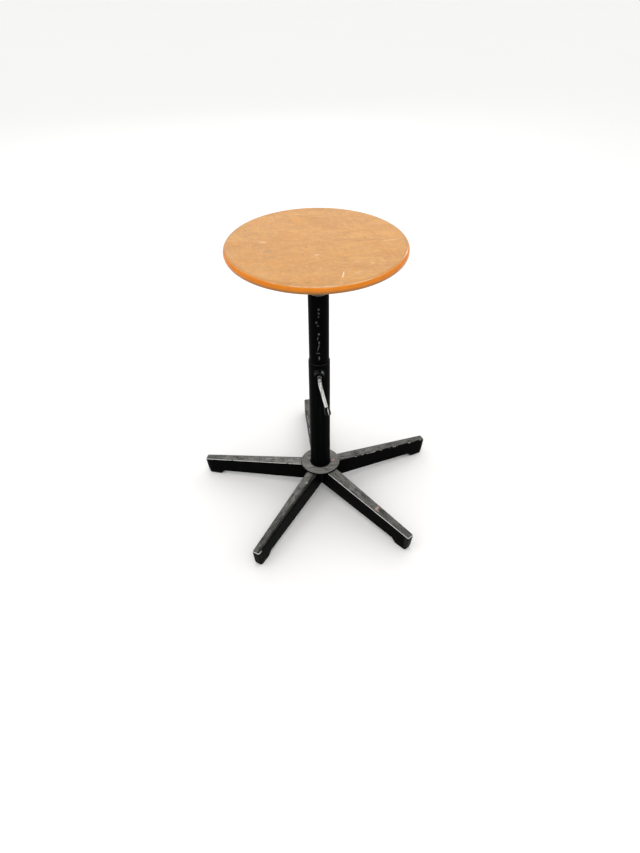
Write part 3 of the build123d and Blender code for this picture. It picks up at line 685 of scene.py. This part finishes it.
def lever_chrome():
    """Bright plating on the lever, smudged and pitted, with dark oily steel where it is threaded."""
    s = Surface("lever_chrome", metallic=1.0)
    s.shader.inputs["Specular Tint"].default_value = CHROME_TINT
    _, y, z = s.split(s.place)
    smudge = s.grain(s.place, 130, 4.0, 0.6, 0.4)
    pit = s.step(s.grain(s.place, 900, 2.0), 0.70, 0.78)
    colour = s.mix(s.step(smudge, 0.45, 0.75), CHROME, CHROME_SMUDGE)
    colour = s.mix(s.times(pit, 0.55), colour, CHROME_PIT)
    tarnish = s.grain(s.moved(s.place, (1, 1, 0.08)), 420, 2.0)
    upper_end = s.step(z, CLAMP_HEIGHT - 34 * MM, CLAMP_HEIGHT - 18 * MM)
    tarnish = s.times(s.step(tarnish, 0.50, 0.62), upper_end)
    colour = s.mix(s.times(tarnish, 0.75), colour, CHROME_TARNISH)
    threaded = s.step(y, THREAD_END - 6.0 * MM, THREAD_END - 3.0 * MM)
    colour = s.mix(threaded, colour, OILY_STEEL)
    bend = s.step(z, CLAMP_HEIGHT - 14 * MM, CLAMP_HEIGHT - 6 * MM)
    s.relief(s.grain(s.place, 420, 2.0), 0.012 * MM)
    dulled = s.math("ADD", s.times(smudge, 0.5), s.times(bend, 0.60), clamp=True)
    return s.finish(colour, s.between(dulled, 0.08, 0.50))


def thread_steel():
    """Grey oiled steel of the screw's thread."""
    s = Surface("thread_steel", metallic=1.0)
    grime = s.grain(s.place, 600, 3.0)
    colour = s.mix(s.step(grime, 0.40, 0.65), THREAD_GREY, THREAD_GRIME)
    return s.finish(colour, s.between(grime, 0.28, 0.50))


def glide_black():
    """Black moulded plastic with a fine spark texture, dusty near the floor."""
    s = Surface("glide_black", ior=1.1)
    _, _, z = s.split(s.place)
    grit = s.grain(s.place, 520, 3.0, 0.6)
    colour = s.mix(s.step(grit, 0.50, 0.75), GLIDE_BLACK, shade(GLIDE_BLACK, 2.6))
    dust = s.times(s.step(z, 4.0 * MM, 1.2 * MM), s.step(grit, 0.36, 0.62))
    colour = s.mix(s.times(dust, 0.6), colour, GLIDE_DUST)
    s.relief(s.grain(s.place, 1400, 1.0), 0.02 * MM)
    s.relief(s.grain(s.place, 160, 3.0), 0.05 * MM)
    return s.finish(colour, s.between(grit, 0.40, 0.60))


def glossy_grip():
    """Glossy black vinyl sleeve, with a short pale stripe painted on its right front as a highlight."""
    s = Surface("grip_black", ior=1.12)
    grit = s.grain(s.place, 520, 3.0, 0.6)
    colour = s.mix(s.step(grit, 0.50, 0.75), GRIP_BLACK, GRIP_SPECK)
    low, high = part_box("lever_grip")
    centre = (low + high) / 2 + Vector((1.8, -4.2, 1.5)) * MM
    lean = (math.radians(-8), math.radians(-13), 0)
    # A painted highlight: a short pale stripe on the right front of the sleeve.
    painted_highlight = s.spot(s.place, centre, (1.2 * MM, 3.4 * MM, 8.5 * MM), lean, grit, 0.5)
    colour = s.mix(s.times(painted_highlight, 0.90), colour, PAINTED_HIGHLIGHT_PALE)
    s.relief(s.grain(s.place, 300, 2.0), 0.03 * MM)
    return s.finish(colour, s.between(grit, 0.14, 0.30))


def pale_plastic(name, tone, grime, shade_line_height=0.0):
    """Light plastic of the bushes, painted dark olive as shade under the seat, with grime in a noise.
    Below a height it shows its own pale colour.
    """
    s = Surface(name, roughness=0.45, specular=0.4)
    _, _, z = s.split(s.place)
    stain = s.step(s.grain(s.place, 110, 4.0, 0.65), 0.42, 0.70)
    # Painted shade: the bush is painted dark olive where the seat shades it, with grime in a noise on top.
    colour = s.mix(s.times(stain, 0.6), tone, grime)
    # Below the height the plastic shows its own pale colour, out of the painted shade.
    unshaded = s.step(z, shade_line_height, shade_line_height - 0.6 * MM)
    colour = s.mix(s.times(unshaded, 0.9), colour, UNSHADED_PLASTIC)
    s.relief(s.grain(s.place, 800, 2.0), 0.02 * MM)
    return s.finish(colour, s.between(stain, 0.38, 0.55))


def weld_black():
    """The base's paint over a weld, with spatter grain."""
    s = Surface("weld_black", ior=1.2)
    grit = s.grain(s.place, 700, 3.0, 0.7)
    colour = s.mix(s.step(grit, 0.55, 0.75), BASE_BLACK, BASE_SCUFF)
    s.relief(s.grain(s.place, 450, 2.0), 0.08 * MM)
    return s.finish(colour, s.between(grit, 0.34, 0.50))


# ---------------------------------------------------------------- mesh helpers
WELD_PITCH = 1.7 * MM
WELD_UNEVENNESS = 160      # waves of the noise in a metre of weld


def add_piece(name, vertices, faces, material, body, slot):
    """A smooth mesh piece that rides on a body."""
    mesh = bpy.data.meshes.new(name)
    mesh.from_pydata([tuple(v) for v in vertices], [], faces)
    mesh.polygons.foreach_set("use_smooth", [True] * len(mesh.polygons))
    mesh.materials.append(material)
    piece = bpy.data.objects.new(name, mesh)
    bpy.context.scene.collection.objects.link(piece)
    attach(piece, body)
    return piece


def sweep(points, radius_at, pole, sides=10, closed=False):
    """Vertices and faces of a tube along points. pole is a direction that the path never runs along."""
    count = len(points)
    vertices, faces = [], []
    run = 0.0
    for i, point in enumerate(points):
        before = points[i - 1] if closed or i else point
        after = points[(i + 1) % count] if closed or i + 1 < count else point
        tangent = (after - before).normalized()
        side = tangent.cross(pole).normalized()
        rise = side.cross(tangent)
        radius = radius_at(run)
        for k in range(sides):
            turn = FULL_TURN * k / sides
            vertices.append(point + (side * math.cos(turn) + rise * math.sin(turn)) * radius)
        run += (after - point).length
    for i in range(count if closed else count - 1):
        here, there = i * sides, (i + 1) % count * sides
        for k in range(sides):
            k2 = (k + 1) % sides
            faces.append((here + k, here + k2, there + k2, there + k))
    if not closed:
        faces.append(tuple(range(sides))[::-1])
        faces.append(tuple(range((count - 1) * sides, count * sides)))
    return vertices, faces


def joined(parts):
    """Several (vertices, faces) pairs as one."""
    vertices, faces = [], []
    for part_vertices, part_faces in parts:
        start = len(vertices)
        vertices += part_vertices
        faces += [tuple(start + index for index in face) for face in part_faces]
    return vertices, faces


def weld_radius(size, seed):
    """The rippled thickness of a weld bead, as a function of the distance along it."""

    def radius(run):
        ripple = abs(math.sin(HALF_TURN * run / WELD_PITCH)) ** 0.6
        uneven = noise.noise(Vector((run * WELD_UNEVENNESS, seed, 0)))
        return size * (0.86 + 0.14 * ripple + 0.12 * uneven)

    return radius


def circle_points(radius, height, steps):
    """Points of a horizontal circle about the column's axis."""
    angles = [FULL_TURN * i / steps for i in range(steps)]
    return [Vector((radius * math.cos(a), radius * math.sin(a), height)) for a in angles]


def straight(start, end, step=0.4 * MM):
    """Points of a straight run, about a step apart."""
    count = max(2, round((end - start).length / step))
    return [start.lerp(end, i / count) for i in range(count + 1)]


# ---------------------------------------------------------------- pieces
SEAT_SEGMENTS = 320
SEAT_RING_STEP = 2.6 * MM
SEAT_EDGE_STEPS = 30
SEAT_UNEVENNESS = 0.05 * MM
DENT_COUNT = 34
DENT_LEAN = (0.15, 1.9)    # radians down from the top of the round edge
DENT_RADIUS = (1.8, 4.2)   # mm
DENT_DEPTH = (0.12, 0.42)  # mm
SPOT_DENT_SPREAD = 1.3     # radius of the dent under a dark spot, over the spot's half length
SPOT_DENT_DEPTH = 0.14 * MM
SEED = 11

# Thickness of the weld beads
RING_WELD = 1.5 * MM
LEG_WELD = 2.1 * MM
BOSS_WELD = 1.5 * MM
HUB_WELD = 1.7 * MM
RIB_WELD = 1.3 * MM


def seat_profile():
    """(radius, height, outward normal) from near the top's centre, over the round edge and back."""
    rings = round(SEAT_FLAT_R / SEAT_RING_STEP)
    radii = [SEAT_FLAT_R * i / rings for i in range(1, rings)]
    profile = [(r, seat_high.z, UP) for r in radii]
    for i in range(SEAT_EDGE_STEPS + 1):
        lean = HALF_TURN * i / SEAT_EDGE_STEPS
        out = Vector((math.sin(lean), 0, math.cos(lean)))
        height = SEAT_MIDDLE + math.copysign(SEAT_BAND_HALF, out.z) + SEAT_EDGE_R * out.z
        profile.append((SEAT_FLAT_R + SEAT_EDGE_R * out.x, height, out))
    profile += [(r, seat_low.z, -UP) for r in reversed(radii)]
    return profile


def seat_dents():
    """Knocks: (place, radius, depth). Most are on the upper shoulder of the round edge."""
    dice = random.Random(SEED)
    dents = [(RIM_CHIP, RIM_CHIP_RADIUS, RIM_CHIP_DEPTH)]
    for _ in range(DENT_COUNT):
        angle = dice.uniform(0, FULL_TURN)
        lean = dice.uniform(*DENT_LEAN)
        reach = SEAT_FLAT_R + SEAT_EDGE_R * math.sin(lean)
        height = SEAT_MIDDLE + SEAT_EDGE_R * math.cos(lean)
        place = Vector((SEAT_X + reach * math.cos(angle), reach * math.sin(angle), height))
        dents.append((place, dice.uniform(*DENT_RADIUS) * MM, dice.uniform(*DENT_DEPTH) * MM))
    for x, y, length, _, _, paint, _ in SEAT_MARKS:
        if paint is SPOT_DARK:
            place = Vector((x * MM, y * MM, seat_high.z))
            dents.append((place, length * SPOT_DENT_SPREAD * MM, SPOT_DENT_DEPTH))
    return dents


def seat_board():
    """The plywood disc with its round edge, slightly uneven and knocked."""
    dents = seat_dents()
    profile = seat_profile()
    vertices = []
    for radius, height, out in profile:
        near = [dent for dent in dents
                if abs(math.hypot(dent[0].x - SEAT_X, dent[0].y) - radius) < dent[1] + SEAT_EDGE_R]
        for k in range(SEAT_SEGMENTS):
            turn = FULL_TURN * k / SEAT_SEGMENTS
            along_x, along_y = math.cos(turn), math.sin(turn)
            place = Vector((SEAT_X + radius * along_x, radius * along_y, height))
            inward = -Vector((out.x * along_x, out.x * along_y, out.z))
            depth = SEAT_UNEVENNESS * (0.5 + 0.5 * noise.noise(place * 30))
            for centre, size, deep in near:
                gap = (place - centre).length / size
                if gap < 1:
                    depth += deep * (1 - gap * gap) ** 2
            vertices.append(place + inward * depth)
    faces = []
    for i in range(len(profile) - 1):
        here, there = i * SEAT_SEGMENTS, (i + 1) * SEAT_SEGMENTS
        for k in range(SEAT_SEGMENTS):
            k2 = (k + 1) % SEAT_SEGMENTS
            faces.append((here + k, there + k, there + k2, here + k2))
    for start, height in ((0, seat_high.z), ((len(profile) - 1) * SEAT_SEGMENTS, seat_low.z)):
        centre = len(vertices)
        vertices.append(Vector((SEAT_X, 0, height)))
        for k in range(SEAT_SEGMENTS):
            ring = (start + k, start + (k + 1) % SEAT_SEGMENTS)
            faces.append((*ring, centre) if start == 0 else (*ring[::-1], centre))
    piece = add_piece("seat_board", vertices, faces, varnished_beech(), "seat", "beech_plywood")
    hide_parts("seat_panel")


def ring_weld(paint):
    """Bead where the outer tube meets the ring."""
    path = circle_points(LOWER_R + 0.3 * MM, RING_TOP + 0.2 * MM, 420)
    bead = sweep(path, weld_radius(RING_WELD, seed=1), UP, closed=True)
    add_piece("ring_weld", *bead, paint, "base", "base_paint")


def leg_welds(paint):
    """Upright beads where neighbouring legs meet below the ring."""
    reach = LEG_HALF_ROOT / math.sin(LEG_SPACING / 2)
    for number in LEG_NUMBERS:
        angle = leg_angle(number) + LEG_SPACING / 2
        corner = Vector((reach * math.cos(angle), reach * math.sin(angle), 0))
        path = straight(corner + UP * (LEG_EDGE_ROOT + 1 * MM), corner + UP * RING_UNDERSIDE)
        bead = sweep(path, weld_radius(LEG_WELD, seed=10 + number), Vector((1, 0, 0)))
        add_piece(f"leg_weld_{number}", *bead, paint, "base", "base_paint")


def boss_weld(paint):
    """Saddle bead where the clamp's boss meets the outer tube."""
    steps = 220
    path = []
    for i in range(steps):
        turn = FULL_TURN * i / steps
        x = BOSS_R * math.cos(turn)
        y = -math.sqrt((LOWER_R + 0.2 * MM) ** 2 - x * x)
        path.append(Vector((x, y, CLAMP_HEIGHT + BOSS_R * math.sin(turn))))
    bead = sweep(path, weld_radius(BOSS_WELD, seed=31), Vector((0, 1, 0)), closed=True)
    add_piece("boss_weld", *bead, paint, "base", "column_paint")


def carrier_welds(paint):
    """Beads of the carrier: round the hub, and down both sides of each rib."""
    hub_path = circle_points(HUB_R + 0.3 * MM, PLATE_UNDERSIDE - 0.2 * MM, 360)
    bead = sweep(hub_path, weld_radius(HUB_WELD, seed=41), UP, closed=True)
    add_piece("hub_weld", *bead, paint, "seat", "carrier_paint")
    inset = 1.0 * MM
    for rib, number in enumerate(RIB_NUMBERS):
        turn = Matrix.Rotation(FULL_TURN * rib / len(RIB_NUMBERS), 3, "Z")
        beads = []
        for side in (-1, 1):
            across = side * (GUSSET_HALF + 0.2 * MM)
            low = Vector((HUB_R + 0.2 * MM, across, GUSSET_BOTTOM + 2 * MM))
            corner = Vector((HUB_R + inset, across, PLATE_UNDERSIDE - inset))
            far = Vector((GUSSET_REACH - 2 * MM, across, PLATE_UNDERSIDE - 0.2 * MM))
            path = [turn @ p for p in straight(low, corner) + straight(corner, far)[1:]]
            pole = turn @ Vector((0, 1, 0))
            beads.append(sweep(path, weld_radius(RIB_WELD, seed=50 + 2 * rib + side), pole))
        add_piece(f"rib_weld_{number}", *joined(beads), paint, "seat", "carrier_paint")


def lever_thread():
    """The part of the screw's thread that stands outside the boss: a ridge along a helix."""
    pitch = 1.25 * MM
    core = THREAD_R + 0.05 * MM
    ridge = 0.34 * MM
    start = BOSS_FACE - 0.4 * MM
    turns = 3.4
    steps = 240
    run_out = 4 * MM       # the ridge fades in and out over this length
    path = []
    for i in range(steps + 1):
        turn = FULL_TURN * turns * i / steps
        side = Vector((math.cos(turn), 0, math.sin(turn)))
        path.append(side * core + Vector((0, start - pitch * turns * i / steps, CLAMP_HEIGHT)))
    length = FULL_TURN * core * turns

    def radius(run):
        return ridge * max(0.15, min(1.0, run / run_out, (length - run) / run_out))

    ridge_mesh = sweep(path, radius, Vector((0, 1, 0)), sides=8)
    add_piece("lever_thread", *ridge_mesh, thread_steel(), "clamp_handle", "bright_steel")


# ---------------------------------------------------------------- dressing the CAD nodes
def dress(material, *names):
    """Gives CAD nodes a material."""
    for name in names:
        frame["nodes"][name].material_slots[0].material = material


def dress_column():
    """The black paint of both tubes and of the clamp's boss."""
    dress(column_black("inner_tube_black", marks=CLAMP_MARKS), "upper_tube")
    dress(column_black("outer_tube_black"), "lower_tube")
    dress(column_black("boss_black", chips=BOSS_WEAR_AND_HIGHLIGHT), "clamp_boss")


def dress_base():
    """The black paint of the legs and of the ring."""
    for number in LEG_NUMBERS:
        paint = base_black(f"leg_{number}_black", leg_angle(number), **LEG_WEAR_AND_LIGHT[number])
        dress(paint, f"leg_{number}")
    dress(base_black("ring_black", **RING_WEAR_AND_LIGHT), "hub_ring")


def dress_rest(carrier_paint):
    """The materials of all other CAD nodes that show."""
    ribs = (f"seat_gusset_{number}" for number in RIB_NUMBERS)
    dress(carrier_paint, "seat_plate", "seat_hub", *ribs)
    zinc = drawn_steel("zinc_plate", ZINC, roughness=0.34, lines=2500)
    dress(zinc, "seat_screws", "spindle_washer", "thrust_washer")
    dress(drawn_steel("bright_steel", BRIGHT_STEEL, roughness=0.24, lines=3500), "spindle", "clamp_pad")
    dress(drawn_steel("spring_steel", SPRING_STEEL, roughness=0.36, lines=2500), "spindle_circlip")
    # The bearing is painted as shaded above this line.
    shade_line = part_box("top_bearing")[1].z - 3.1 * MM
    dress(pale_plastic("bearing_pale_and_shade", BUSH_SHADE_OLIVE, BUSH_GRIME, shade_line), "top_bearing", "lower_bush")
    dress(pale_plastic("guide_grey", LINER_GREY, LINER_GRIME), "guide_sleeve", "column_glide")
    dress(lever_chrome(), "clamp_lever")
    dress(glossy_grip(), "lever_grip")
    dress(glide_black(), *(f"foot_{number}" for number in LEG_NUMBERS))


# ---------------------------------------------------------------- floor, light and camera
FLOOR_R = 16.0
FLOOR_TONES = (rgb(0.955, 0.955, 0.955), rgb(0.975, 0.975, 0.975))
WORLD_WHITE = rgb(1.0, 0.995, 0.985)
WORLD_STRENGTH = (0.50, 0.76)   # at the horizon, and overhead
WORLD_OVERHEAD = 0.9            # a direction whose Z reaches this counts as overhead
SEAT_TARGET = (0, 0, seat_low.z)
COLUMN_TARGET = (0, 0, 0.2)

# Soft lights: name, place, target, width, height, power
SOFTBOXES = (
    ("overhead", (0.1, 0.2, 2.3), SEAT_TARGET, 0.6, 0.6, 4.0),
    ("front_key", (0.45, -2.1, 2.55), SEAT_TARGET, 0.55, 0.55, 6.0),
    ("back_right", (1.45, 1.75, 1.35), SEAT_TARGET, 0.4, 0.6, 5.0),
    ("back_wall", (-0.4, 2.6, 1.6), COLUMN_TARGET, 2.4, 1.2, 8.0),
)
SUN_STRENGTH = 0.95
SUN_SPREAD = math.radians(70)
SUN_DIRECTION = Vector((0.15, 0.30, -1.0))

CAMERA_PLACE = Vector((0, -1.130, 1.123))
CAMERA_PITCH = math.radians(39.87)
CAMERA_ROLL = math.radians(-0.70)
LENS = 27.73
SENSOR = 36


def pale_floor():
    """A plain pale floor, far larger than the view, with a very faint mottle."""
    s = Surface("pale_floor", roughness=0.7, specular=0.1)
    cloud = s.grain(s.place, 1.2, 3.0)
    rim = circle_points(FLOOR_R, -0.2 * MM, 96)
    mesh = bpy.data.meshes.new("floor")
    mesh.from_pydata([tuple(v) for v in rim], [], [tuple(range(len(rim)))])
    mesh.materials.append(s.finish(s.mix(cloud, *FLOOR_TONES)))
    floor = bpy.data.objects.new("floor", mesh)
    bpy.context.scene.collection.objects.link(floor)


def studio_world():
    """Soft light from all round, brighter overhead than at the horizon."""
    world = bpy.data.worlds.new("studio")
    world.use_nodes = True
    nodes, links = world.node_tree.nodes, world.node_tree.links
    place = nodes.new("ShaderNodeTexCoord").outputs["Generated"]
    split = nodes.new("ShaderNodeSeparateXYZ")
    links.new(place, split.inputs[0])
    height = nodes.new("ShaderNodeMapRange")
    links.new(split.outputs["Z"], height.inputs["Value"])
    height.inputs["From Max"].default_value = WORLD_OVERHEAD
    height.inputs["To Min"].default_value, height.inputs["To Max"].default_value = WORLD_STRENGTH
    background = nodes["Background"]
    background.inputs["Color"].default_value = WORLD_WHITE
    links.new(height.outputs["Result"], background.inputs["Strength"])
    bpy.context.scene.world = world


def softbox(name, place, target, width, height, power):
    """A rectangular lamp that faces a target."""
    lamp = bpy.data.lights.new(name, "AREA")
    lamp.shape = "RECTANGLE"
    lamp.size = width
    lamp.size_y = height
    lamp.energy = power
    holder = bpy.data.objects.new(name, lamp)
    bpy.context.scene.collection.objects.link(holder)
    holder.location = place
    holder.rotation_mode = "QUATERNION"
    holder.rotation_quaternion = (Vector(target) - Vector(place)).to_track_quat("-Z", "Y")


def soft_sun():
    """An even overhead light that whitens the floor out to the horizon."""
    lamp = bpy.data.lights.new("sky_light", "SUN")
    lamp.energy = SUN_STRENGTH
    lamp.angle = SUN_SPREAD
    holder = bpy.data.objects.new("sky_light", lamp)
    bpy.context.scene.collection.objects.link(holder)
    holder.rotation_mode = "QUATERNION"
    holder.rotation_quaternion = SUN_DIRECTION.to_track_quat("-Z", "Y")


def camera():
    """Looks along +Y and down at the stool, with a slight roll."""
    forward = Vector((0, math.cos(CAMERA_PITCH), -math.sin(CAMERA_PITCH)))
    level_up = Vector((0, math.sin(CAMERA_PITCH), math.cos(CAMERA_PITCH)))
    level_right = Vector((1, 0, 0))
    right = math.cos(CAMERA_ROLL) * level_right + math.sin(CAMERA_ROLL) * level_up
    up = math.cos(CAMERA_ROLL) * level_up - math.sin(CAMERA_ROLL) * level_right
    turn = Matrix((right, up, -forward)).transposed().to_4x4()
    lens = bpy.data.cameras.new("camera")
    lens.sensor_width = SENSOR
    lens.lens = LENS
    eye = bpy.data.objects.new("camera", lens)
    bpy.context.scene.collection.objects.link(eye)
    eye.matrix_world = Matrix.Translation(CAMERA_PLACE) @ turn
    bpy.context.scene.camera = eye


# ---------------------------------------------------------------- build
bpy.context.scene.view_settings.view_transform = "Standard"
camera()
for row in SOFTBOXES:
    softbox(*row)
soft_sun()
studio_world()
pale_floor()

seat_carrier_paint = carrier_black()
base_weld_paint = weld_black()
dress_column()
dress_base()
dress_rest(seat_carrier_paint)

seat_board()
ring_weld(base_weld_paint)
leg_welds(base_weld_paint)
boss_weld(base_weld_paint)
carrier_welds(seat_carrier_paint)
lever_thread()
